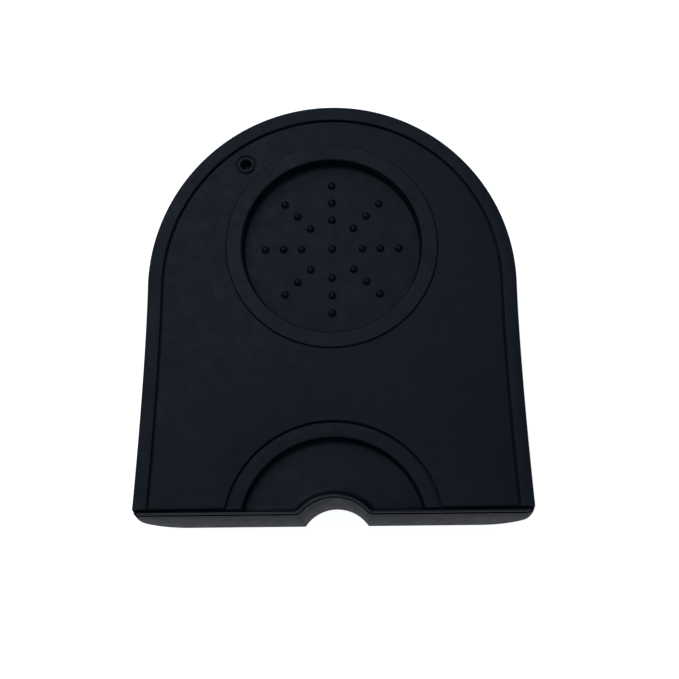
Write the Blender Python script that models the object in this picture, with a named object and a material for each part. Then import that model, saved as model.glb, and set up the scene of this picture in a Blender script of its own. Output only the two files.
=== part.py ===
"""Espresso tamping mat: a black rubber mat that hooks over the front edge of a worktop.

Units are metres and +Z is up. The worktop surface is Z = 0 and the point under the
centre of the round back end is X = Y = 0. The front edge faces -Y.
The mat is built along the lines that show on its surface: a thin base sheet carries the
top panel, the border rim, the tamper seat with its ring and studs, and the half-round
portafilter seat, and the lip hangs down in front of the worktop.
"""
import math

import bmesh
import bpy

GAP = 0.0003                # clearance between neighbouring pieces

# Plan of the mat
ARCH_RADIUS = 0.065         # round back end, half its width
ARCH_REACH = 0.0671         # and how far it reaches behind its centre
FRONT_DEPTH = 0.0814        # from the arch centre forward to the front edge
FLARE = 0.0041              # how much each side has spread at the front edge
FLARE_POWER = 1.5           # how late the spread sets in
FRONT_CORNER = 0.0030       # plan radius of the two front corners
RIM_WIDTH = 0.005

# Heights above the worktop
BASE_TOP = 0.0009
PANEL_TOP = 0.0065
RIM_TOP = 0.0070
RING_TOP = 0.0073
STEP_TOP = 0.0059
SEAT_FLOOR = 0.0022         # both seats are the same depth
UPSTAND_TOP = 0.0058
BEAD_TOP = 0.0068
BOSS_TOP = 0.0070
LOWER_LAYER = BASE_TOP + GAP  # underside of everything that lies on the base sheet

# Tamper seat
TAMPER_Y = 0.0149
SEAT_INNER = 0.0322         # both seats have the same radii, inside and outside their ring
SEAT_OUTER = 0.0374
STUD_RADIUS = 0.00122
STUD_HEIGHT = 0.0008
STUD_ARMS = 8
STUD_FIRST = 0.0108         # from the centre to the first stud of an arm
STUD_PITCH = 0.00645
STUDS_PER_ARM = 3

# Half-round portafilter seat, whose centre lies in front of the mat
SEAT_AHEAD = 0.0050

# Front lip
LIP_THICK = 0.010
LIP_BOTTOM = -0.018
LIP_CORNER_WIDTH = 0.018    # elliptic lower corners of the lip, seen from the front
LIP_CORNER_HEIGHT = 0.0235
LIP_BACK_EDGE = 0.0010      # bevel on the lip's upper back edge, under the base sheet's front
UPSTAND = 0.0014            # wall of the lip that stands in front of the panel
FRONT_GROOVE = 0.0009       # groove between this wall and the panel
BEAD_FROM = 0.00045         # bead's front and back, measured in from the front edge
BEAD_TO = 0.00125
BEAD_START = 60.0           # angle along each front corner where the bead begins
# Spout notch at its top and at the lip's bottom: radius, how far its centre lies in front of
# the mat and to the right of the middle, and the radius of its corners
NOTCH_TOP = (0.0151, 0.0091, 0.0003, 0.0035)
NOTCH_FOOT = (0.0133, 0.0073, 0.0008, 0.0005)

# Gate boss
BOSS_X = -0.0305
BOSS_Y = 0.0455
BOSS_OUTER = 0.0030
BOSS_HOLE = 0.0019
BOSS_FLOOR = 0.0022

# Edges
SOFT_THIN = 0.0002          # rounding of the two floors and the base sheet
SOFT = 0.0003               # rounding of the panel and the half ring
SOFT_OUTER = 0.0004         # rounding of the rim and the lip
SOFT_BEAD = 0.00018
RING_ROUND_OUT = 0.0007
RING_ROUND_IN = 0.0004
BOSS_EDGE = 0.0003
BEVEL_FROM = 35.0           # edges that turn by more than this many degrees are rounded
SHARP_FROM = 40.0           # and by more than this many are drawn sharp

# Points along the curves
ARC_STEPS = 48
SIDE_STEPS = 10
NOTCH_STEPS = 10
TURN_STEPS = 5              # round the notch's and the front edge's corners
LIP_CORNER_STEPS = 12
HALF_SEAT_STEPS = 32
RING_HOLE_STEPS = 64
RING_STEPS = 72
BOSS_STEPS = 20
STUD_STEPS = 12
DOME_STEPS = 4

FRONT_Y = -FRONT_DEPTH
PANEL_FRONT = FRONT_Y + UPSTAND + FRONT_GROOVE
PAST = 0.01                 # how far a cutter reaches past what it cuts


def clear_scene():
    """Start from an empty scene."""
    for old in list(bpy.data.objects):
        bpy.data.objects.remove(old)


def rubber(name, grey, roughness):
    """Matte black moulded rubber."""
    material = bpy.data.materials.new(name)
    material.use_nodes = True
    shader = material.node_tree.nodes["Principled BSDF"]
    shader.inputs["Base Color"].default_value = (grey, grey * 1.1, grey * 1.25, 1.0)
    shader.inputs["Roughness"].default_value = roughness
    shader.inputs["Metallic"].default_value = 0.0
    return material


def arc(centre_x, centre_y, radius, start, stop, steps):
    """Points along an arc, angles in degrees, both ends included."""
    points = []
    for i in range(steps + 1):
        angle = math.radians(start + (stop - start) * i / steps)
        points.append((centre_x + radius * math.cos(angle), centre_y + radius * math.sin(angle)))
    return points


def half_width(y):
    """Half the mat's width at y: straight above the arch centre, flaring towards the front."""
    forward = max(0.0, -y / FRONT_DEPTH)
    return ARCH_RADIUS + FLARE * forward ** FLARE_POWER


def horseshoe(inset, front_y):
    """The mat's outline moved in by inset: right side, round back end, left side."""
    right = []
    for i in range(SIDE_STEPS):
        y = front_y * (1.0 - i / SIDE_STEPS)
        right.append((half_width(y) - inset, y))
    stretch = (ARCH_REACH - inset) / (ARCH_RADIUS - inset)
    back = [(x, y * stretch) for x, y in arc(0.0, 0.0, ARCH_RADIUS - inset, 0.0, 180.0, ARC_STEPS)]
    left = [(-x, y) for x, y in reversed(right)]
    return right + back + left


def notch_side(inset, radius, ahead, fillet):
    """Right half of the notch edge moved in by inset, from its middle to the front edge."""
    rise = fillet + ahead
    fillet_x = math.sqrt((radius + fillet) ** 2 - rise ** 2)
    tangent = math.degrees(math.atan2(rise, fillet_x))
    bow = arc(0.0, FRONT_Y - ahead, radius + inset, 90.0, tangent, NOTCH_STEPS)
    turn = arc(fillet_x, FRONT_Y + fillet, fillet - inset, 180.0 + tangent, 270.0, TURN_STEPS)
    return bow + turn[1:]


def front_edge(inset, notch=NOTCH_TOP):
    """The front edge with its notch, moved in by inset, from right to left, without corners."""
    radius, ahead, middle, fillet = notch
    side = notch_side(inset, radius, ahead, fillet)
    right = [(middle + x, y) for x, y in reversed(side)]
    left = [(middle - x, y) for x, y in side[1:]]
    return right + left


def front_strip(inset, notch=NOTCH_TOP, start=0.0):
    """The front edge with its rounded corners, moved in by inset, from right to left."""
    x = half_width(FRONT_Y) - FRONT_CORNER
    radius = FRONT_CORNER - inset
    right = arc(x, FRONT_Y + FRONT_CORNER, radius, -start, -90.0, TURN_STEPS)
    left = [(-x, y) for x, y in reversed(right)]
    return right + front_edge(inset, notch) + left


def prism(bm, outline, bottom, top, upper_outline=None):
    """Add a solid over a plan outline. It may end in another outline with as many points."""
    floor = [bm.verts.new((x, y, bottom)) for x, y in outline]
    roof = [bm.verts.new((x, y, top)) for x, y in upper_outline or outline]
    bm.faces.new(floor)
    bm.faces.new(roof)
    for i, vertex in enumerate(floor):
        bm.faces.new((floor[i - 1], vertex, roof[i], roof[i - 1]))


def turned(bm, profile, centre, steps):
    """Add a solid turned from a closed profile of (radius, height) points."""
    rings = []
    for radius, height in profile:
        if radius == 0.0:
            rings.append([bm.verts.new((centre[0], centre[1], height))])
            continue
        rings.append([
            bm.verts.new((x, y, height))
            for x, y in arc(centre[0], centre[1], radius, 0.0, 360.0, steps)[:-1]
        ])
    pairs = list(zip(rings, rings[1:]))
    if all(len(ring) > 1 for ring in rings):
        pairs.append((rings[-1], rings[0]))
    for upper, lower in pairs:
        for i in range(steps):
            corners = []
            for vertex in (upper[i % len(upper)], upper[(i + 1) % len(upper)],
                           lower[(i + 1) % len(lower)], lower[i % len(lower)]):
                if vertex not in corners:
                    corners.append(vertex)
            bm.faces.new(corners)


def make_object(name, bm, material=None):
    """Turn a bmesh into an object with its faces pointing out."""
    bmesh.ops.recalc_face_normals(bm, faces=bm.faces)
    mesh = bpy.data.meshes.new(name)
    bm.to_mesh(mesh)
    bm.free()
    if material is not None:
        mesh.materials.append(material)
    thing = bpy.data.objects.new(name, mesh)
    bpy.context.scene.collection.objects.link(thing)
    return thing


def make_cutter(name, bm):
    """A guide solid that only shapes another piece."""
    cutter = make_object(name, bm)
    cutter.hide_render = True
    cutter.display_type = "WIRE"
    return cutter


def cut(target, cutter, operation="DIFFERENCE"):
    """Shape target with cutter."""
    modifier = target.modifiers.new(cutter.name, "BOOLEAN")
    modifier.operation = operation
    modifier.solver = "EXACT"
    modifier.object = cutter


def shade(mesh):
    """Shade a mesh smooth, apart from its sharp edges."""
    mesh.shade_smooth()
    mesh.set_sharp_from_angle(angle=math.radians(SHARP_FROM))


def soften(target, width, segments=2):
    """Round every sharp edge of target."""
    modifier = target.modifiers.new("soft_edges", "BEVEL")
    modifier.width = width
    modifier.segments = segments
    modifier.limit_method = "ANGLE"
    modifier.angle_limit = math.radians(BEVEL_FROM)
    shade(target.data)


def base_sheet():
    """The underside of the mat, from behind the lip to the round back end."""
    bm = bmesh.new()
    prism(bm, horseshoe(0.0, FRONT_Y + LIP_THICK + GAP), 0.0, BASE_TOP)
    sheet = make_object("base_sheet", bm, rubber("base_rubber", grey=0.010, roughness=0.75))
    soften(sheet, SOFT_THIN, 1)


def seat_arc(radius, y):
    """The portafilter seat's arc behind the line at y, from right to left."""
    start = math.degrees(math.asin((y - FRONT_Y + SEAT_AHEAD) / radius))
    return arc(0.0, FRONT_Y - SEAT_AHEAD, radius, start, 180.0 - start, HALF_SEAT_STEPS)


def top_panel():
    """The panel inside the rim, open for the two seats and the gate boss."""
    outline = horseshoe(RIM_WIDTH + GAP, PANEL_FRONT)
    outline += list(reversed(seat_arc(SEAT_OUTER + GAP, PANEL_FRONT)))
    bm = bmesh.new()
    prism(bm, outline, LOWER_LAYER, PANEL_TOP)
    panel = make_object("top_panel", bm, rubber("panel_rubber", grey=0.011, roughness=0.55))

    for name, x, y, radius, steps in (
        ("ring_hole", 0.0, TAMPER_Y, SEAT_OUTER + GAP, RING_HOLE_STEPS),
        ("boss_hole", BOSS_X, BOSS_Y, BOSS_OUTER + GAP, BOSS_STEPS),
    ):
        bm = bmesh.new()
        prism(bm, arc(x, y, radius, 0.0, 360.0, steps)[:-1], -PAST, PANEL_TOP + PAST)
        cut(panel, make_cutter(name, bm))
    soften(panel, SOFT)


def border_rim():
    """The raised border along both sides and the round back end."""
    outer = horseshoe(0.0, PANEL_FRONT)
    inner = horseshoe(RIM_WIDTH, PANEL_FRONT)
    bm = bmesh.new()
    prism(bm, outer + list(reversed(inner)), LOWER_LAYER, RIM_TOP)
    rim = make_object("border_rim", bm, rubber("rim_rubber", grey=0.012, roughness=0.55))
    soften(rim, SOFT_OUTER)


def room_for_layers():
    """Cutter that clears the top of the lip behind its upstand."""
    wide = half_width(FRONT_Y) + PAST
    far = FRONT_Y + LIP_THICK + PAST
    near = FRONT_Y + UPSTAND
    bm = bmesh.new()
    behind = [(-wide, near), (-wide, far), (wide, far), (wide, near)]
    prism(bm, behind + front_edge(UPSTAND), BASE_TOP, RIM_TOP + PAST)
    return make_cutter("room_for_layers", bm)


def back_edge(back):
    """Cutter that slopes the lip's upper back edge at 45 degrees. It is drawn from the side."""
    wide = half_width(FRONT_Y) + PAST
    slope = [
        (back + PAST, BASE_TOP - LIP_BACK_EDGE - PAST),
        (back - LIP_BACK_EDGE, BASE_TOP),
        (back - LIP_BACK_EDGE, BASE_TOP + PAST),
        (back + PAST, BASE_TOP + PAST),
    ]
    bm = bmesh.new()
    prism(bm, slope, -wide, wide)
    cutter = make_cutter("back_edge", bm)
    cutter.rotation_euler = (math.radians(90.0), 0.0, math.radians(90.0))
    return cutter


def lower_corners():
    """Shield that the lip is trimmed to: its outline from the front, with the corners rounded."""
    side = half_width(FRONT_Y)
    corner = [
        (side - LIP_CORNER_WIDTH * (1.0 - x), LIP_BOTTOM + LIP_CORNER_HEIGHT * (1.0 + z))
        for x, z in arc(0.0, 0.0, 1.0, 0.0, -90.0, LIP_CORNER_STEPS)
    ]
    top = RIM_TOP + PAST
    shield = [(side, top)] + corner + [(-x, z) for x, z in reversed(corner)] + [(-side, top)]
    bm = bmesh.new()
    prism(bm, shield, -LIP_THICK - PAST, PAST)
    cutter = make_cutter("lower_corners", bm)
    cutter.rotation_euler = (math.radians(90.0), 0.0, 0.0)
    cutter.location = (0.0, FRONT_Y, 0.0)
    return cutter


def front_lip():
    """The wall that hangs in front of the worktop, notched for the portafilter's spout."""
    back = FRONT_Y + LIP_THICK
    sides = [(-half_width(back), back), (half_width(back), back)]
    foot = front_strip(0.0, NOTCH_FOOT) + sides
    bm = bmesh.new()
    prism(bm, foot, LIP_BOTTOM, UPSTAND_TOP, front_strip(0.0) + sides)
    lip = make_object("front_lip", bm, rubber("lip_rubber", grey=0.013, roughness=0.42))
    cut(lip, room_for_layers())
    cut(lip, back_edge(back))
    cut(lip, lower_corners(), "INTERSECT")
    soften(lip, SOFT_OUTER)


def front_bead():
    """The fine ridge along the top of the front edge and round the notch."""
    bm = bmesh.new()
    outline = front_strip(BEAD_FROM, start=BEAD_START)
    outline += list(reversed(front_strip(BEAD_TO, start=BEAD_START)))
    prism(bm, outline, UPSTAND_TOP + GAP, BEAD_TOP)
    bead = make_object("front_bead", bm, rubber("bead_rubber", grey=0.014, roughness=0.45))
    soften(bead, SOFT_BEAD)


def tamper_ring():
    """The raised ring round the tamper seat, with rounded shoulders."""
    profile = arc(
        SEAT_OUTER - RING_ROUND_OUT, RING_TOP - RING_ROUND_OUT, RING_ROUND_OUT, 90.0, 0.0, 4)
    profile += [(SEAT_OUTER, LOWER_LAYER), (SEAT_INNER, LOWER_LAYER)]
    profile += arc(
        SEAT_INNER + RING_ROUND_IN, RING_TOP - RING_ROUND_IN, RING_ROUND_IN, 180.0, 90.0, 3)
    bm = bmesh.new()
    turned(bm, profile, (0.0, TAMPER_Y), RING_STEPS)
    ring = make_object("tamper_ring", bm, rubber("ring_rubber", grey=0.013, roughness=0.5))
    shade(ring.data)


def tamper_seat():
    """The flat floor of the tamper seat."""
    bm = bmesh.new()
    outline = arc(0.0, TAMPER_Y, SEAT_INNER - GAP, 0.0, 360.0, RING_STEPS)[:-1]
    prism(bm, outline, LOWER_LAYER, SEAT_FLOOR)
    seat = make_object("tamper_seat", bm, rubber("seat_rubber", grey=0.011, roughness=0.55))
    soften(seat, SOFT_THIN, 1)


def stud_mesh():
    """One domed stud, standing on its own origin."""
    sphere = (STUD_RADIUS ** 2 + STUD_HEIGHT ** 2) / (2.0 * STUD_HEIGHT)
    spread = math.degrees(math.asin(STUD_RADIUS / sphere))
    dome = arc(0.0, STUD_HEIGHT - sphere, sphere, 90.0, 90.0 - spread, DOME_STEPS)
    profile = [(0.0, STUD_HEIGHT)] + dome[1:] + [(0.0, 0.0)]
    bm = bmesh.new()
    turned(bm, profile, (0.0, 0.0), STUD_STEPS)
    bmesh.ops.recalc_face_normals(bm, faces=bm.faces)
    mesh = bpy.data.meshes.new("grip_stud")
    bm.to_mesh(mesh)
    bm.free()
    mesh.materials.append(rubber("stud_rubber", grey=0.013, roughness=0.45))
    shade(mesh)
    return mesh


def grip_studs():
    """Domed studs on the tamper seat: one in the middle and three on each of eight arms."""
    mesh = stud_mesh()
    places = {"stud_centre": (0.0, 0.0)}
    for arm in range(STUD_ARMS):
        angle = 2.0 * math.pi * arm / STUD_ARMS
        for i in range(STUDS_PER_ARM):
            reach = STUD_FIRST + STUD_PITCH * i
            name = f"stud_arm{arm + 1}_{i + 1}"
            places[name] = (reach * math.cos(angle), reach * math.sin(angle))
    for name, (x, y) in places.items():
        stud = bpy.data.objects.new(name, mesh)
        stud.location = (x, TAMPER_Y + y, SEAT_FLOOR + GAP)
        bpy.context.scene.collection.objects.link(stud)


def portafilter_step():
    """The half ring round the portafilter seat, a little below the panel."""
    outline = seat_arc(SEAT_OUTER, PANEL_FRONT)
    outline += list(reversed(seat_arc(SEAT_INNER, PANEL_FRONT)))
    bm = bmesh.new()
    prism(bm, outline, LOWER_LAYER, STEP_TOP)
    step = make_object("portafilter_step", bm, rubber("step_rubber", grey=0.011, roughness=0.55))
    soften(step, SOFT)


def portafilter_seat():
    """The half-round floor that the portafilter rests on, cut back round the notch."""
    behind_wall = UPSTAND + GAP
    outline = seat_arc(SEAT_INNER - GAP, FRONT_Y + behind_wall)
    outline += list(reversed(front_edge(behind_wall)))
    bm = bmesh.new()
    prism(bm, outline, LOWER_LAYER, SEAT_FLOOR)
    seat = make_object("portafilter_seat", bm, rubber("half_seat_rubber", grey=0.011, roughness=0.55))
    soften(seat, SOFT_THIN, 1)


def gate_boss():
    """The small raised ring with a blind hole, left by the mould's gate."""
    profile = [
        (0.0, BOSS_FLOOR), (BOSS_HOLE, BOSS_FLOOR), (BOSS_HOLE, BOSS_TOP - BOSS_EDGE),
        (BOSS_HOLE + BOSS_EDGE, BOSS_TOP), (BOSS_OUTER - BOSS_EDGE, BOSS_TOP),
        (BOSS_OUTER, BOSS_TOP - BOSS_EDGE), (BOSS_OUTER, LOWER_LAYER), (0.0, LOWER_LAYER),
    ]
    bm = bmesh.new()
    turned(bm, profile, (BOSS_X, BOSS_Y), BOSS_STEPS)
    boss = make_object("gate_boss", bm, rubber("boss_rubber", grey=0.013, roughness=0.5))
    shade(boss.data)


clear_scene()
base_sheet()
top_panel()
border_rim()
front_lip()
front_bead()
tamper_ring()
tamper_seat()
grip_studs()
portafilter_step()
portafilter_seat()
gate_boss()
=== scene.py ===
import math

import bmesh
import bpy
from mathutils import Matrix, Vector


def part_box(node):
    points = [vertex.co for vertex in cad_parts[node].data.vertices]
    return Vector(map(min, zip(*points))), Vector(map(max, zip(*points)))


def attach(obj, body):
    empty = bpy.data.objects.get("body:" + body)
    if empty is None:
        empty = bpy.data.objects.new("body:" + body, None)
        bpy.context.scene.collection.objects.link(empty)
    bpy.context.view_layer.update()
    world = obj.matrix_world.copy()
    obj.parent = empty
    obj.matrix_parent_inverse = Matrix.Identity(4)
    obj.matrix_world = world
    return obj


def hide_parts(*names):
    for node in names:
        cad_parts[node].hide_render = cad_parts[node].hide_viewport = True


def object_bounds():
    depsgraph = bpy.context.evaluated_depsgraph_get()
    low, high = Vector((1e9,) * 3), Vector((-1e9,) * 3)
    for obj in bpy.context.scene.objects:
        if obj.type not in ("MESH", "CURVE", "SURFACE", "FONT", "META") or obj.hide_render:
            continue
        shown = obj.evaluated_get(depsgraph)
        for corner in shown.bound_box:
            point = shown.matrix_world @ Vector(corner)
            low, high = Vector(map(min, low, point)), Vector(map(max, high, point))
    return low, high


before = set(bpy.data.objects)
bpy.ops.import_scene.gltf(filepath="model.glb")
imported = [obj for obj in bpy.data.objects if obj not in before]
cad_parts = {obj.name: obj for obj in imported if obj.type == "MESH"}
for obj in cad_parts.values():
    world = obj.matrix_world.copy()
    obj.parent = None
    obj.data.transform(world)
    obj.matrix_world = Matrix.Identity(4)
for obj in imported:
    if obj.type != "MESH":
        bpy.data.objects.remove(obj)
cad_low, cad_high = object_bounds()

BODY = "root"

# Camera, in metres and degrees
AIM = Vector((0.00255, -0.01975, 0.0070))
AZIMUTH = 4.61
ELEVATION = 74.92
ROLL = -5.15
DISTANCE = 0.66997
LENS = 101.8                # mm
SENSOR = 36.0               # mm
CLIP_NEAR = 0.01
CLIP_FAR = 50.0

# Studio, in metres and degrees
FLOOR_SIZE = 8.0
FLOOR_DROP = 0.00005        # the floor lies this much below the lip
FLOOR_WHITE = 0.90
FLOOR_ROUGHNESS = 0.95
FLOOR_GLOW = 0.92           # the floor is a lit table, so the mat throws no dark shadow
AIR = (                     # height in the air from horizon to straight up, and its colour
    (0.10, (0.10, 0.10, 0.105)),
    (0.85, (0.16, 0.235, 0.36)),
)
SOFTBOXES = (               # name, azimuth, elevation, distance, size, watts, tint
    ("window", -150.0, 42.0, 2.2, 0.8, 4.0, (0.80, 0.90, 1.0)),
    ("key", -150.0, 66.0, 0.7, 0.2, 1.0, (0.68, 0.82, 1.0)),
)

# Plan of the mat, in metres, as the CAD model has it
ARCH_RADIUS = 0.065
ARCH_REACH = cad_high[1]
FRONT_Y = cad_low[1]
FLARE = 0.00406             # how much wider each side is at the front than at the arch
FLARE_POWER = 1.5
FRONT_CORNER = 0.0030
RIM_WIDTH = 0.0050
GAP = 0.0003                # between neighbouring CAD pieces
TOUCH = 0.00005             # gap between visual pieces that look joined
UPSTAND = 0.0014            # thickness of the lip where it stands up past the panel's front
LIP_THICK = 0.010
LIP_CORNER_WIDTH = 0.018    # the lip's lower corners are quarter ellipses
LIP_CORNER_HEIGHT = 0.0235
BEAD_FROM = 0.00045         # the bead's two sides, measured from the front edge
BEAD_TO = 0.00125
BEAD_START = 60.0           # degrees into the front corner's arc
SEAT_AHEAD = 0.0050         # the portafilter seat's centre lies this far ahead of the front edge
BOSS_HOLE = 0.0019          # radius

# Spout notch: radius, its centre ahead of the front edge, its centre's x, corner radius
NOTCH_TOP = (0.0151, 0.0091, 0.0003, 0.0035)
NOTCH_FOOT = (0.0133, 0.0073, 0.0008, 0.0005)

# Grooves: widths, then depths below the panel, and for the front one below the upstand's top
LINE = 0.00050              # round the panel and the boss
RING_GROOVE = 0.00022       # at the foot of the tamper ring
FRONT_GROOVE = 0.0009       # between the upstand and the panel
PANEL_FRONT = FRONT_Y + UPSTAND + FRONT_GROOVE
GROOVE_DEPTH = 0.0010
STEP_GROOVE_DEPTH = 0.0015  # round the half ring
BOSS_GROOVE_DEPTH = 0.0005
FRONT_GROOVE_DEPTH = 0.0006
GROOVE_END = 0.0006         # the front groove's floor ends this far inside the lip

# Soft edges and leaning walls
BASE_ROUND = 0.0003
RIM_OUTER_ROUND = 0.0007
RIM_INNER_ROUND = 0.0004
PANEL_ROUND = 0.00035
FRONT_SLOPE = 3.0           # the panel's front edge is rounded this much wider than its others
LIP_BEVEL = 0.00045
LIP_BEVEL_ANGLE = 35.0      # edges sharper than this are softened
RING_EDGE_IN = 0.00045      # the tamper ring's round inner edge reaches this far over its seat
RING_INNER_ROUND = 0.0007
RING_INNER_START = 172.0    # degrees; where the round edge goes over into the leaning wall
RING_OUTER_ROUND = 0.0003
RING_FLAT = 0.0002          # flat strip beside each of the ring's round edges
RING_DRAFT = 0.00065        # how far the ring's wall leans in from top to floor
STEP_ROUND = 0.0003
STEP_DRAFT = 0.0006         # the same for the half ring
WALL_FILLET = 0.0002        # at the foot of both walls
FILLET_FROM = 285.0         # degrees
FILLET_TO = 345.0
SEAT_FILLET = 0.0028        # reach of the hollow between the half seat's floor and the upstand
HALF_FLOOR_ROUND = 0.0002
STUD_FOOT = 0.00030         # radius of the flare round each stud
BOSS_HOLE_ROUND = 0.0004

# Heights and round pieces, read from the frame
LIP_BOTTOM = cad_low[2]
BASE_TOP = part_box("base_sheet")[1][2]
PANEL_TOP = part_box("top_panel")[1][2]
RIM_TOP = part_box("border_rim")[1][2]
RING_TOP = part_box("tamper_ring")[1][2]
STEP_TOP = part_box("portafilter_step")[1][2]
SEAT_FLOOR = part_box("tamper_seat")[1][2]
UPSTAND_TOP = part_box("front_lip")[1][2]
BEAD_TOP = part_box("front_bead")[1][2]
BOSS_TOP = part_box("gate_boss")[1][2]
BOSS_FLOOR = 0.0022         # bottom of its blind hole; the only one not read from the frame

# Fineness of the visual meshes
ARCH_STEPS = 160
SIDE_STEPS = 24
RING_STEPS = 192
SEAT_STEPS = 96
NOTCH_STEPS = 28
NOTCH_TURN_STEPS = 12
FRONT_CORNER_STEPS = 10
LIP_CORNER_STEPS = 40
ROUND_STEPS = 6
FILLET_STEPS = 4
BEVEL_STEPS = 4
STUD_STEPS = 40
STUD_CROWN_STEPS = 10
STUD_FOOT_STEPS = 5
BOSS_STEPS = 48
SHARP_ANGLE = 38.0          # degrees; edges sharper than this aren't shaded smooth
STUD_SHARP_ANGLE = 60.0
PAST = 0.01                 # how far a cutter reaches past what it cuts

# Colours of the rubber
INK = (0.0018, 0.0026, 0.0042)
COAL = (0.0038, 0.0052, 0.0078)
WORN = (0.0100, 0.0115, 0.0135)
SPECK_LIFT = 4.0            # a speck is this much lighter than worn rubber

# Noise in the rubber: waves a metre, detail, roughness and stretch
CLOUDS = (38.0, 3.0)
PATCHES = (210.0, 5.0, 0.6)
STREAKS = (60.0, 4.0, 0.6, (0.35, 6.0, 1.0))
GRAINS = (2600.0, 3.0, 0.6)
PITS = (900.0, 2.0, 0.5)
SCUFFS = (120.0, 8.0, 0.75, (3.2, 1.0, 1.0))
SPECKS = (1500.0, 1.0)
SHIFT = (1.0, 0.7, 0.3)     # direction in which each piece's noise is moved from the others'

# What the noise does: the range of noise used, and the range that it becomes
CLOUD_TONE = (0.3, 0.7, 0.0, 1.0)
CLOUD_SHARE = 0.6
PATCH_TONE = (0.35, 0.7, 0.0, 0.15)
STREAK_TONE = (0.4, 0.7, 0.0, 0.15)
EDGE_WEAR = (0.505, 0.56, 0.0, 0.7)
EDGE_BREAKS = (0.35, 0.6, 0.25, 1.0)
SCUFF_WEAR = (0.62, 0.74, 0.0, 0.35)
SPECK_AMOUNT = (0.79, 0.83, 0.0, 0.6)
ROUGH_PATCHES = (0.3, 0.7)
WORN_ROUGHER = 0.08
GRAIN_HEIGHT = 0.6
PIT_HEIGHT = 0.8
PATCH_HEIGHT = 0.4
BUMP = 0.25
BUMP_DISTANCE = 0.00012


def middle(name):
    """Centre of a CAD node's box, seen from above, and half its width."""
    low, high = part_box(name)
    return (low[0] + high[0]) / 2.0, (low[1] + high[1]) / 2.0, (high[0] - low[0]) / 2.0


RING_X, RING_Y, SEAT_OUTER = middle("tamper_ring")
SEAT_INNER = middle("tamper_seat")[2] + GAP
BOSS_X, BOSS_Y, BOSS_OUTER = middle("gate_boss")


# ---------------------------------------------------------------- camera and light

def make_camera():
    """A long lens looking almost straight down, turned a little about its own axis."""
    azimuth = math.radians(AZIMUTH)
    elevation = math.radians(ELEVATION)
    roll = math.radians(ROLL)
    back = Vector((
        math.sin(azimuth) * math.cos(elevation),
        -math.cos(azimuth) * math.cos(elevation),
        math.sin(elevation),
    ))
    right = Vector((math.cos(azimuth), math.sin(azimuth), 0.0))
    up = back.cross(right)
    turned_right = right * math.cos(roll) + up * math.sin(roll)
    turned_up = up * math.cos(roll) - right * math.sin(roll)
    data = bpy.data.cameras.new("camera")
    data.lens = LENS
    data.sensor_width = SENSOR
    data.clip_start = CLIP_NEAR
    data.clip_end = CLIP_FAR
    camera = bpy.data.objects.new("camera", data)
    bpy.context.scene.collection.objects.link(camera)
    columns = Matrix((turned_right, turned_up, back)).transposed()
    camera.matrix_world = Matrix.Translation(AIM + back * DISTANCE) @ columns.to_4x4()
    bpy.context.scene.camera = camera


def make_world():
    """Studio air: pale towards the horizon, dim overhead where the flat rubber looks."""
    world = bpy.data.worlds.new("studio")
    bpy.context.scene.world = world
    world.use_nodes = True
    tree = world.node_tree
    coordinates = tree.nodes.new("ShaderNodeTexCoord")
    split = tree.nodes.new("ShaderNodeSeparateXYZ")
    ramp = tree.nodes.new("ShaderNodeValToRGB")
    for stop, (height, color) in zip(ramp.color_ramp.elements, AIR):
        stop.position = height
        stop.color = (*color, 1.0)
    tree.links.new(coordinates.outputs["Generated"], split.inputs["Vector"])
    tree.links.new(split.outputs["Z"], ramp.inputs["Fac"])
    tree.links.new(ramp.outputs["Color"], tree.nodes["Background"].inputs["Color"])
    tree.nodes["Background"].inputs["Strength"].default_value = 1.0


def softbox(name, azimuth, elevation, distance, size, power, tint):
    """A square soft light that looks at the mat. Azimuth 0 stands in front, 90 on the right."""
    a = math.radians(azimuth)
    e = math.radians(elevation)
    lamp = bpy.data.lights.new(name, "AREA")
    lamp.shape = "SQUARE"
    lamp.size = size
    lamp.energy = power
    lamp.color = tint
    holder = bpy.data.objects.new(name, lamp)
    bpy.context.scene.collection.objects.link(holder)
    away = Vector((math.sin(a) * math.cos(e), -math.cos(a) * math.cos(e), math.sin(e)))
    holder.location = away * distance
    holder.rotation_mode = "QUATERNION"
    holder.rotation_quaternion = away.to_track_quat("Z", "Y")


def make_studio():
    """Plain pale floor, soft air and two softboxes."""
    half = FLOOR_SIZE / 2.0
    height = LIP_BOTTOM - FLOOR_DROP
    mesh = bpy.data.meshes.new("floor")
    mesh.from_pydata(
        [(-half, -half, height), (half, -half, height),
         (half, half, height), (-half, half, height)],
        [], [(0, 1, 2, 3)],
    )
    floor = bpy.data.objects.new("floor", mesh)
    bpy.context.scene.collection.objects.link(floor)
    paint = bpy.data.materials.new("floor_white")
    paint.use_nodes = True
    shader = paint.node_tree.nodes["Principled BSDF"]
    shader.inputs["Base Color"].default_value = (FLOOR_WHITE, FLOOR_WHITE, FLOOR_WHITE, 1.0)
    shader.inputs["Roughness"].default_value = FLOOR_ROUGHNESS
    shader.inputs["Specular IOR Level"].default_value = 0.0
    shader.inputs["Emission Color"].default_value = (1.0, 1.0, 1.0, 1.0)
    shader.inputs["Emission Strength"].default_value = FLOOR_GLOW
    mesh.materials.append(paint)
    make_world()
    for settings in SOFTBOXES:
        softbox(*settings)


# ---------------------------------------------------------------- rubber

def node(tree, kind, **settings):
    """A new shader node with some of its settings made."""
    made = tree.nodes.new(kind)
    for key, value in settings.items():
        setattr(made, key, value)
    return made


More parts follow.
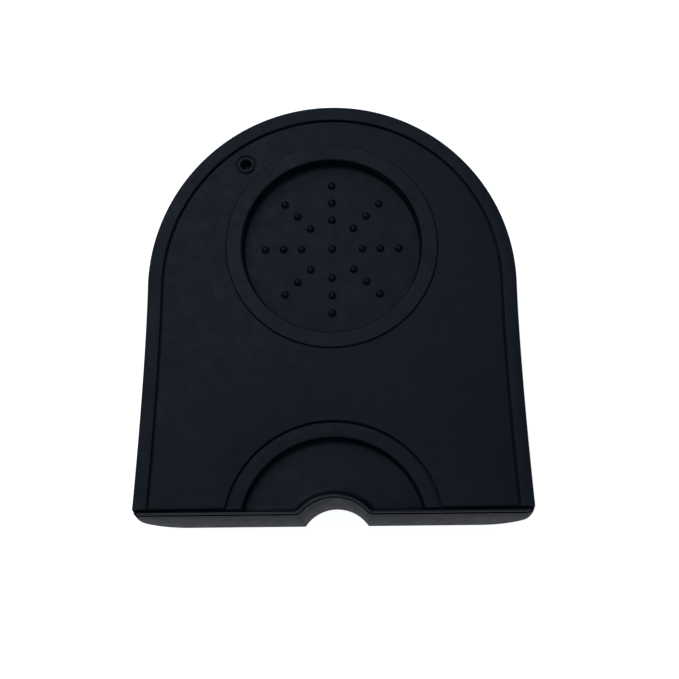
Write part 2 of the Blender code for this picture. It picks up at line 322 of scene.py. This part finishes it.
def noise(tree, where, scale, detail, roughness=0.55, stretch=None):
    """Noise value in object space, scale in waves a metre."""
    texture = node(tree, "ShaderNodeTexNoise")
    texture.inputs["Scale"].default_value = scale
    texture.inputs["Detail"].default_value = detail
    texture.inputs["Roughness"].default_value = roughness
    if stretch is None:
        tree.links.new(where, texture.inputs["Vector"])
    else:
        mapping = node(tree, "ShaderNodeMapping")
        mapping.inputs["Scale"].default_value = stretch
        tree.links.new(where, mapping.inputs["Vector"])
        tree.links.new(mapping.outputs["Vector"], texture.inputs["Vector"])
    return texture.outputs["Fac"]


def spread(tree, value, low, high, to_low, to_high):
    """A value moved from one range to another, and held inside it."""
    ranged = node(tree, "ShaderNodeMapRange")
    ranged.inputs["From Min"].default_value = low
    ranged.inputs["From Max"].default_value = high
    ranged.inputs["To Min"].default_value = to_low
    ranged.inputs["To Max"].default_value = to_high
    tree.links.new(value, ranged.inputs["Value"])
    return ranged.outputs["Result"]


def combine(tree, operation, first, second):
    """Two values joined by a sum, product or other operation."""
    maths = node(tree, "ShaderNodeMath", operation=operation)
    for socket, value in zip(maths.inputs, (first, second)):
        if isinstance(value, (int, float)):
            socket.default_value = value
        else:
            tree.links.new(value, socket)
    return maths.outputs["Value"]


def blend_colors(tree, amount, first, second):
    """One colour going over to another by amount."""
    mix = node(tree, "ShaderNodeMix", data_type="RGBA")
    tree.links.new(amount, mix.inputs["Factor"])
    colors = [socket for socket in mix.inputs if socket.type == "RGBA"]
    for socket, color in zip(colors, (first, second)):
        if isinstance(color, tuple):
            socket.default_value = (*color, 1.0)
        else:
            tree.links.new(color, socket)
    return [socket for socket in mix.outputs if socket.type == "RGBA"][0]


def rubber(name, offset, rough=(0.52, 0.62), gloss=0.25):
    """Black moulded rubber: clouded black, fine grain, flow streaks, specks and rubbed edges.
    The offset gives each piece its own part of the noise."""
    material = bpy.data.materials.new(name)
    material.use_nodes = True
    tree = material.node_tree
    shader = tree.nodes["Principled BSDF"]
    shift = node(tree, "ShaderNodeMapping")
    shift.inputs["Location"].default_value = tuple(offset * part for part in SHIFT)
    tree.links.new(node(tree, "ShaderNodeTexCoord").outputs["Object"], shift.inputs["Vector"])
    place = shift.outputs["Vector"]

    clouds = noise(tree, place, *CLOUDS)
    patches = noise(tree, place, *PATCHES)
    streaks = noise(tree, place, *STREAKS)
    grains = noise(tree, place, *GRAINS)
    pits = noise(tree, place, *PITS)
    scuffs = noise(tree, place, *SCUFFS)

    tone = combine(tree, "MULTIPLY", spread(tree, clouds, *CLOUD_TONE), CLOUD_SHARE)
    tone = combine(tree, "ADD", tone, spread(tree, patches, *PATCH_TONE))
    tone = combine(tree, "ADD", tone, spread(tree, streaks, *STREAK_TONE))
    color = blend_colors(tree, tone, INK, COAL)

    pointed = node(tree, "ShaderNodeNewGeometry").outputs["Pointiness"]
    edges = spread(tree, pointed, *EDGE_WEAR)
    rubbed = combine(tree, "MULTIPLY", edges, spread(tree, patches, *EDGE_BREAKS))
    scuffed = spread(tree, scuffs, *SCUFF_WEAR)
    wear = combine(tree, "MAXIMUM", rubbed, scuffed)
    color = blend_colors(tree, wear, color, WORN)
    specks = spread(tree, noise(tree, place, *SPECKS), *SPECK_AMOUNT)
    color = blend_colors(tree, specks, color, tuple(SPECK_LIFT * part for part in WORN))
    tree.links.new(color, shader.inputs["Base Color"])

    roughness = spread(tree, patches, *ROUGH_PATCHES, *rough)
    roughness = combine(tree, "ADD", roughness, combine(tree, "MULTIPLY", wear, WORN_ROUGHER))
    tree.links.new(roughness, shader.inputs["Roughness"])

    height = combine(tree, "ADD", combine(tree, "MULTIPLY", grains, GRAIN_HEIGHT),
                     combine(tree, "MULTIPLY", pits, PIT_HEIGHT))
    height = combine(tree, "ADD", height, combine(tree, "MULTIPLY", patches, PATCH_HEIGHT))
    bump = node(tree, "ShaderNodeBump")
    bump.inputs["Strength"].default_value = BUMP
    bump.inputs["Distance"].default_value = BUMP_DISTANCE
    tree.links.new(height, bump.inputs["Height"])
    tree.links.new(bump.outputs["Normal"], shader.inputs["Normal"])
    shader.inputs["Specular IOR Level"].default_value = gloss
    return material


# ---------------------------------------------------------------- outlines

def arc(centre_x, centre_y, radius, start, stop, steps):
    """Points along an arc, angles in degrees, both ends included."""
    points = []
    for i in range(steps + 1):
        angle = math.radians(start + (stop - start) * i / steps)
        points.append((centre_x + radius * math.cos(angle), centre_y + radius * math.sin(angle)))
    return points


def half_width(y):
    """Half the mat's width at y: straight above the arch centre, flaring towards the front."""
    forward = max(0.0, y / FRONT_Y)
    return ARCH_RADIUS + FLARE * forward ** FLARE_POWER


def horseshoe(inset, front):
    """The mat's outline moved in by inset: right side, round back end, left side."""
    right = []
    for i in range(SIDE_STEPS):
        y = front * (1.0 - i / SIDE_STEPS)
        right.append((half_width(y) - inset, y))
    stretch = (ARCH_REACH - inset) / (ARCH_RADIUS - inset)
    round_end = arc(0.0, 0.0, ARCH_RADIUS - inset, 0.0, 180.0, ARCH_STEPS)
    back = [(x, y * stretch) for x, y in round_end]
    left = [(-x, y) for x, y in reversed(right)]
    return right + back + left


def front_edge(inset, notch=NOTCH_TOP):
    """The front edge with its notch, moved in by inset, from right to left, without the
    mat's corners."""
    radius, ahead, middle_x, fillet = notch
    rise = fillet + ahead
    fillet_x = math.sqrt((radius + fillet) ** 2 - rise ** 2)
    tangent = math.degrees(math.atan2(rise, fillet_x))
    bow = arc(0.0, FRONT_Y - ahead, radius + inset, 90.0, tangent, NOTCH_STEPS)
    turn = arc(fillet_x, FRONT_Y + fillet, fillet - inset, 180.0 + tangent, 270.0,
               NOTCH_TURN_STEPS)
    side = bow + turn[1:]
    right = [(middle_x + x, y) for x, y in reversed(side)]
    return right + [(middle_x - x, y) for x, y in side[1:]]


def front_strip(inset, notch=NOTCH_TOP, start=0.0):
    """The front edge with its rounded corners, moved in by inset, from right to left."""
    x = half_width(FRONT_Y) - FRONT_CORNER
    right = arc(x, FRONT_Y + FRONT_CORNER, FRONT_CORNER - inset, -start, -90.0,
                FRONT_CORNER_STEPS)
    left = [(-x, y) for x, y in reversed(right)]
    return right + front_edge(inset, notch) + left


def seat_arc(radius, y):
    """The portafilter seat's arc behind the line at y, from right to left."""
    start = math.degrees(math.asin((y - FRONT_Y + SEAT_AHEAD) / radius))
    return arc(0.0, FRONT_Y - SEAT_AHEAD, radius, start, 180.0 - start, SEAT_STEPS)


# ---------------------------------------------------------------- mesh tools

def grid(bm, rows):
    """A swept bar. Each row is one point of its section carried along the path."""
    lines = [[bm.verts.new(point) for point in row] for row in rows]
    for i, line in enumerate(lines):
        before = lines[i - 1]
        for j in range(1, len(line)):
            bm.faces.new((before[j - 1], before[j], line[j], line[j - 1]))
    bm.faces.new([line[0] for line in lines])
    bm.faces.new([line[-1] for line in lines])


def slab(bm, boundaries):
    """A plate. Each boundary is a list of loops of points, from the flat top down to the flat
    underside. The first boundary is the outside, the others are holes."""
    for_top = []
    for_bottom = []
    for boundary in boundaries:
        loops = [[bm.verts.new(point) for point in loop] for loop in boundary]
        for upper, lower in zip(loops, loops[1:]):
            for j in range(len(upper)):
                bm.faces.new((upper[j - 1], upper[j], lower[j], lower[j - 1]))
        for loop, edges in ((loops[0], for_top), (loops[-1], for_bottom)):
            edges += [bm.edges.get((loop[j - 1], loop[j])) for j in range(len(loop))]
    bmesh.ops.triangle_fill(bm, edges=for_top, use_beauty=True)
    bmesh.ops.triangle_fill(bm, edges=for_bottom, use_beauty=True)


def at_height(outline, z):
    """A plan outline as points at one height."""
    return [(x, y, z) for x, y in outline]


def turned(bm, profile, centre, steps):
    """A solid turned from a closed profile of (radius, height) points."""
    rings = []
    for radius, height in profile:
        if radius == 0.0:
            rings.append([bm.verts.new((centre[0], centre[1], height))])
            continue
        circle = arc(centre[0], centre[1], radius, 0.0, 360.0, steps)[:-1]
        rings.append([bm.verts.new((x, y, height)) for x, y in circle])
    pairs = list(zip(rings, rings[1:]))
    if all(len(ring) > 1 for ring in rings):
        pairs.append((rings[-1], rings[0]))
    for upper, lower in pairs:
        for i in range(steps):
            corners = []
            for ring, j in ((upper, i), (upper, i + 1), (lower, i + 1), (lower, i)):
                vertex = ring[j % len(ring)]
                if vertex not in corners:
                    corners.append(vertex)
            bm.faces.new(corners)


def prism(bm, outline, bottom, top, upper_outline=None):
    """A solid over a plan outline. It may end in another outline with as many points."""
    floor = [bm.verts.new((x, y, bottom)) for x, y in outline]
    roof = [bm.verts.new((x, y, top)) for x, y in upper_outline or outline]
    bm.faces.new(floor)
    bm.faces.new(roof)
    for i, vertex in enumerate(floor):
        bm.faces.new((floor[i - 1], vertex, roof[i], roof[i - 1]))


def mesh_object(name, bm):
    """An object from a closed bmesh, faces pointing out."""
    bmesh.ops.recalc_face_normals(bm, faces=bm.faces)
    mesh = bpy.data.meshes.new(name)
    bm.to_mesh(mesh)
    bm.free()
    thing = bpy.data.objects.new(name, mesh)
    bpy.context.scene.collection.objects.link(thing)
    return thing


def carve(target, cutter, operation="DIFFERENCE"):
    """Shape target with cutter."""
    modifier = target.modifiers.new(cutter.name, "BOOLEAN")
    modifier.operation = operation
    modifier.solver = "EXACT"
    modifier.object = cutter


def settle(thing):
    """Apply the modifiers of thing and remove the cutters they used."""
    bpy.context.view_layer.update()
    evaluated = thing.evaluated_get(bpy.context.evaluated_depsgraph_get())
    mesh = bpy.data.meshes.new_from_object(evaluated)
    cutters = [m.object for m in thing.modifiers if m.type == "BOOLEAN"]
    thing.modifiers.clear()
    thing.data = mesh
    for cutter in cutters:
        bpy.data.objects.remove(cutter)


def finish_piece(thing, material, nodes, angle=SHARP_ANGLE):
    """Give a piece its material and its place in the frame."""
    thing.data.materials.clear()
    thing.data.materials.append(material)
    thing.data.shade_smooth()
    thing.data.set_sharp_from_angle(angle=math.radians(angle))
    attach(thing, BODY)
    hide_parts(*nodes)


# ---------------------------------------------------------------- pieces

def base_piece(material):
    """Underside of the mat with a soft lower edge."""
    front = FRONT_Y + LIP_THICK + GAP
    profile = [(0.0, BASE_TOP)]
    profile += arc(BASE_ROUND, BASE_ROUND, BASE_ROUND, 180.0, 270.0, ROUND_STEPS)
    bm = bmesh.new()
    slab(bm, [[at_height(horseshoe(inset, front + inset), z) for inset, z in profile]])
    finish_piece(mesh_object("mat_base", bm), material, ["base_sheet"])


def rim_piece(material):
    """Raised border with a round outer shoulder, swept along the horseshoe."""
    outer = RIM_OUTER_ROUND
    inner = RIM_INNER_ROUND
    profile = [(0.0, BASE_TOP)]
    profile += arc(outer, RIM_TOP - outer, outer, 180.0, 90.0, ROUND_STEPS)
    profile += arc(RIM_WIDTH - inner, RIM_TOP - inner, inner, 90.0, 0.0, ROUND_STEPS)
    profile += [(RIM_WIDTH, BASE_TOP)]
    rows = [at_height(horseshoe(inset, PANEL_FRONT), z) for inset, z in profile]
    bm = bmesh.new()
    grid(bm, rows)
    finish_piece(mesh_object("rim_moulding", bm), material, ["border_rim"])


def panel_piece(material):
    """Flat field inside the rim. A ledge outside its rounded edge is the floor of the grooves."""
    curve = arc(PANEL_ROUND, PANEL_TOP - PANEL_ROUND, PANEL_ROUND, 90.0, 180.0, ROUND_STEPS)
    ledge = PANEL_TOP - GROOVE_DEPTH
    step_ledge = PANEL_TOP - STEP_GROOVE_DEPTH
    outside = []
    profile = [(inset, FRONT_SLOPE * inset, z, z) for inset, z in curve]
    profile.append((0.0, 0.0, ledge, step_ledge))
    profile.append((TOUCH - LINE, 0.0, ledge, step_ledge))
    profile.append((TOUCH - LINE, 0.0, BASE_TOP, BASE_TOP))
    for inset, front_inset, rim_z, step_z in profile:
        front = PANEL_FRONT + front_inset
        loop = at_height(horseshoe(RIM_WIDTH + LINE + inset, front), rim_z)
        loop += at_height(reversed(seat_arc(SEAT_OUTER + LINE + inset, front)), step_z)
        outside.append(loop)

    ring_hole = []
    section = [(RING_GROOVE, PANEL_TOP), (RING_GROOVE, ledge), (TOUCH, ledge), (TOUCH, BASE_TOP)]
    for outset, z in section:
        circle = arc(RING_X, RING_Y, SEAT_OUTER + outset, 0.0, 360.0, RING_STEPS)[:-1]
        ring_hole.append(at_height(circle, z))

    boss_hole = []
    ledge = PANEL_TOP - BOSS_GROOVE_DEPTH
    for inset, z in curve + [(0.0, ledge), (TOUCH - LINE, ledge), (TOUCH - LINE, BASE_TOP)]:
        circle = arc(BOSS_X, BOSS_Y, BOSS_OUTER + LINE + inset, 0.0, 360.0, BOSS_STEPS)[:-1]
        boss_hole.append(at_height(circle, z))

    bm = bmesh.new()
    slab(bm, [outside, ring_hole, boss_hole])
    finish_piece(mesh_object("panel_moulding", bm), material, ["top_panel"])


def groove_floor(bm):
    """Floor of the front groove: a bar behind the upstand on each side of the half seat."""
    side = half_width(FRONT_Y)
    reach = PANEL_FRONT - FRONT_Y + SEAT_AHEAD
    near = math.sqrt(SEAT_INNER ** 2 - reach ** 2) + TOUCH
    front = FRONT_Y + UPSTAND - TOUCH
    rear = PANEL_FRONT - TOUCH
    for way in (1.0, -1.0):
        foot, head = (
            [(way * near, front), (way * (end - GROOVE_END), front), (way * end, rear),
             (way * near, rear)]
            for end in (side - GROOVE_END, side - GROOVE_END / 2.0)
        )
        prism(bm, foot, BASE_TOP / 2.0, UPSTAND_TOP - FRONT_GROOVE_DEPTH, head)


def lip_piece(material):
    """Lip with its upstand: soft edges, and a notch whose corners sharpen towards the foot."""
    back = FRONT_Y + LIP_THICK
    wide = half_width(FRONT_Y) + PAST
    sides = [(-half_width(back), back), (half_width(back), back)]
    bm = bmesh.new()
    prism(bm, front_strip(0.0, NOTCH_FOOT) + sides, LIP_BOTTOM, UPSTAND_TOP,
          front_strip(0.0) + sides)
    lip = mesh_object("lip_moulding", bm)

    behind = [(-wide, FRONT_Y + UPSTAND), (-wide, back + PAST), (wide, back + PAST),
              (wide, FRONT_Y + UPSTAND)]
    bm = bmesh.new()
    prism(bm, behind + front_edge(UPSTAND), BASE_TOP, RIM_TOP + PAST)
    carve(lip, mesh_object("room_for_layers", bm))

    side = half_width(FRONT_Y)
    corner = [
        (side - LIP_CORNER_WIDTH * (1.0 - x), LIP_BOTTOM + LIP_CORNER_HEIGHT * (1.0 + z))
        for x, z in arc(0.0, 0.0, 1.0, 0.0, -90.0, LIP_CORNER_STEPS)
    ]
    top = RIM_TOP + PAST
    shield = [(side, top)] + corner + [(-x, z) for x, z in reversed(corner)] + [(-side, top)]
    bm = bmesh.new()
    prism(bm, shield, -LIP_THICK - PAST, PAST)
    cutter = mesh_object("lower_corners", bm)
    cutter.rotation_euler = (math.radians(90.0), 0.0, 0.0)
    cutter.location = (0.0, FRONT_Y, 0.0)
    carve(lip, cutter, "INTERSECT")

    bevel = lip.modifiers.new("soft_edges", "BEVEL")
    bevel.width = LIP_BEVEL
    bevel.segments = BEVEL_STEPS
    bevel.limit_method = "ANGLE"
    bevel.angle_limit = math.radians(LIP_BEVEL_ANGLE)
    settle(lip)

    bm = bmesh.new()
    bm.from_mesh(lip.data)
    groove_floor(bm)
    bmesh.ops.recalc_face_normals(bm, faces=bm.faces)
    bm.to_mesh(lip.data)
    bm.free()
    finish_piece(lip, material, ["front_lip"])


def bead_piece(material):
    """Fine half-round ridge along the front edge and round the notch."""
    centre = (BEAD_FROM + BEAD_TO) / 2.0
    crown = (BEAD_TO - BEAD_FROM) / 2.0
    curve = arc(centre, BEAD_TOP - crown, crown, 180.0, 0.0, 2 * ROUND_STEPS)
    profile = [(BEAD_FROM, UPSTAND_TOP)] + curve + [(BEAD_TO, UPSTAND_TOP)]
    rows = [at_height(front_strip(inset, start=BEAD_START), z) for inset, z in profile]
    bm = bmesh.new()
    grid(bm, rows)
    finish_piece(mesh_object("bead_moulding", bm), material, ["front_bead"])


def seat_wall(edge, draft):
    """Section of the foot of a seat's wall, which leans in by draft, with a small fillet."""
    centre = edge - draft - WALL_FILLET
    fillet = arc(centre, SEAT_FLOOR + WALL_FILLET, WALL_FILLET, FILLET_FROM, FILLET_TO,
                 FILLET_STEPS)
    return [(centre, SEAT_FLOOR)] + fillet


def ring_piece(material):
    """Raised ring: flat on top, with a wide round inner edge and a crisp outer shoulder."""
    edge = SEAT_INNER - RING_EDGE_IN
    inner = edge + RING_INNER_ROUND
    outer = SEAT_OUTER - RING_OUTER_ROUND
    profile = [(SEAT_INNER, BASE_TOP), (SEAT_INNER, SEAT_FLOOR)] + seat_wall(edge, RING_DRAFT)
    profile += arc(inner, RING_TOP - RING_INNER_ROUND, RING_INNER_ROUND,
                   RING_INNER_START, 90.0, 2 * ROUND_STEPS)
    profile += [(inner + RING_FLAT, RING_TOP), (outer - RING_FLAT, RING_TOP)]
    profile += arc(outer, RING_TOP - RING_OUTER_ROUND, RING_OUTER_ROUND, 90.0, 0.0, ROUND_STEPS)
    profile += [(SEAT_OUTER, BASE_TOP)]
    bm = bmesh.new()
    turned(bm, profile, (RING_X, RING_Y), RING_STEPS)
    finish_piece(mesh_object("ring_moulding", bm), material, ["tamper_ring"])


def tamper_floor_piece(material):
    """Round floor of the tamper seat, under the foot of the ring's wall."""
    profile = [(0.0, SEAT_FLOOR), (SEAT_INNER - TOUCH, SEAT_FLOOR)]
    profile += [(SEAT_INNER - TOUCH, BASE_TOP), (0.0, BASE_TOP)]
    bm = bmesh.new()
    turned(bm, profile, (RING_X, RING_Y), RING_STEPS)
    finish_piece(mesh_object("tamper_floor", bm), material, ["tamper_seat"])


def stud_pieces(material):
    """Round-topped studs on flared feet."""
    for name in sorted(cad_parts):
        if not name.startswith("stud_"):
            continue
        x, y, radius = middle(name)
        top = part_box(name)[1][2]
        height = top - SEAT_FLOOR - STUD_FOOT
        profile = [(0.0, top)]
        for i in range(1, STUD_CROWN_STEPS):
            angle = math.radians(90.0 - 90.0 * i / STUD_CROWN_STEPS)
            profile.append((radius * math.cos(angle), top - height * (1.0 - math.sin(angle))))
        reach = profile[-1][0] + STUD_FOOT
        profile += arc(reach, SEAT_FLOOR + STUD_FOOT, STUD_FOOT, 180.0, 270.0, STUD_FOOT_STEPS)
        profile += [(reach, SEAT_FLOOR - STUD_FOOT), (0.0, SEAT_FLOOR - STUD_FOOT)]
        bm = bmesh.new()
        turned(bm, profile, (x, y), STUD_STEPS)
        piece = mesh_object(name.replace("stud", "pip"), bm)
        finish_piece(piece, material, [name], STUD_SHARP_ANGLE)


def step_piece(material):
    """Half ring round the portafilter seat, its two edges rounded."""
    centre_z = STEP_TOP - STEP_ROUND
    profile = [(SEAT_INNER, BASE_TOP), (SEAT_INNER, SEAT_FLOOR)]
    profile += seat_wall(SEAT_INNER, STEP_DRAFT)
    profile += arc(SEAT_INNER + STEP_ROUND, centre_z, STEP_ROUND, 180.0, 90.0, ROUND_STEPS)
    profile += arc(SEAT_OUTER - STEP_ROUND, centre_z, STEP_ROUND, 90.0, 0.0, ROUND_STEPS)
    profile += [(SEAT_OUTER, BASE_TOP)]
    rows = [at_height(seat_arc(reach, PANEL_FRONT), z) for reach, z in profile]
    bm = bmesh.new()
    grid(bm, rows)
    finish_piece(mesh_object("half_ring", bm), material, ["portafilter_step"])


def half_floor_piece(material):
    """Half-round floor of the portafilter seat, which curves up to the upstand and the notch."""
    steps = 2 * ROUND_STEPS
    loops = []
    for i in range(steps + 1):
        angle = math.radians(90.0 * i / steps)
        edge = HALF_FLOOR_ROUND * (1.0 - math.sin(angle))
        drop = HALF_FLOOR_ROUND * (1.0 - math.cos(angle))
        rise = (UPSTAND_TOP - SEAT_FLOOR) * (1.0 - math.cos(angle))
        front = UPSTAND + TOUCH + SEAT_FILLET * (1.0 - math.sin(angle))
        back = at_height(seat_arc(SEAT_INNER - TOUCH - edge, FRONT_Y + front), SEAT_FLOOR - drop)
        loops.append(back + at_height(reversed(front_edge(front)), SEAT_FLOOR + rise))
    loops.append([(x, y, BASE_TOP) for x, y, _ in loops[-1]])
    bm = bmesh.new()
    slab(bm, [loops])
    floor = mesh_object("half_floor", bm)
    finish_piece(floor, material, ["portafilter_seat"])


def boss_piece(material):
    """Small ring with a blind hole."""
    crown = (BOSS_OUTER - BOSS_HOLE) / 2.0
    profile = [(0.0, BOSS_FLOOR), (BOSS_HOLE - BOSS_HOLE_ROUND, BOSS_FLOOR),
               (BOSS_HOLE, BOSS_FLOOR + BOSS_HOLE_ROUND)]
    profile += arc(BOSS_HOLE + crown, BOSS_TOP - crown, crown, 180.0, 0.0, 2 * ROUND_STEPS)
    profile += [(BOSS_OUTER, BASE_TOP), (0.0, BASE_TOP)]
    bm = bmesh.new()
    turned(bm, profile, (BOSS_X, BOSS_Y), BOSS_STEPS)
    finish_piece(mesh_object("boss_moulding", bm), material, ["gate_boss"])


make_camera()
make_studio()

base_piece(rubber("base", 1.0, rough=(0.55, 0.7)))
rim_piece(rubber("rim", 2.0))
panel_piece(rubber("panel", 3.0))
lip_piece(rubber("lip", 4.0, gloss=0.04))
bead_piece(rubber("bead", 5.0, rough=(0.3, 0.4), gloss=0.42))
ring_piece(rubber("ring", 6.0, gloss=0.27))
tamper_floor_piece(rubber("tamper_floor_finish", 7.0))
stud_pieces(rubber("pips", 8.0, rough=(0.34, 0.44), gloss=0.15))
step_piece(rubber("half_ring_finish", 9.0))
half_floor_piece(rubber("half_floor_finish", 10.0))
boss_piece(rubber("boss", 11.0, gloss=0.4))

bpy.context.scene.view_settings.view_transform = "Standard"
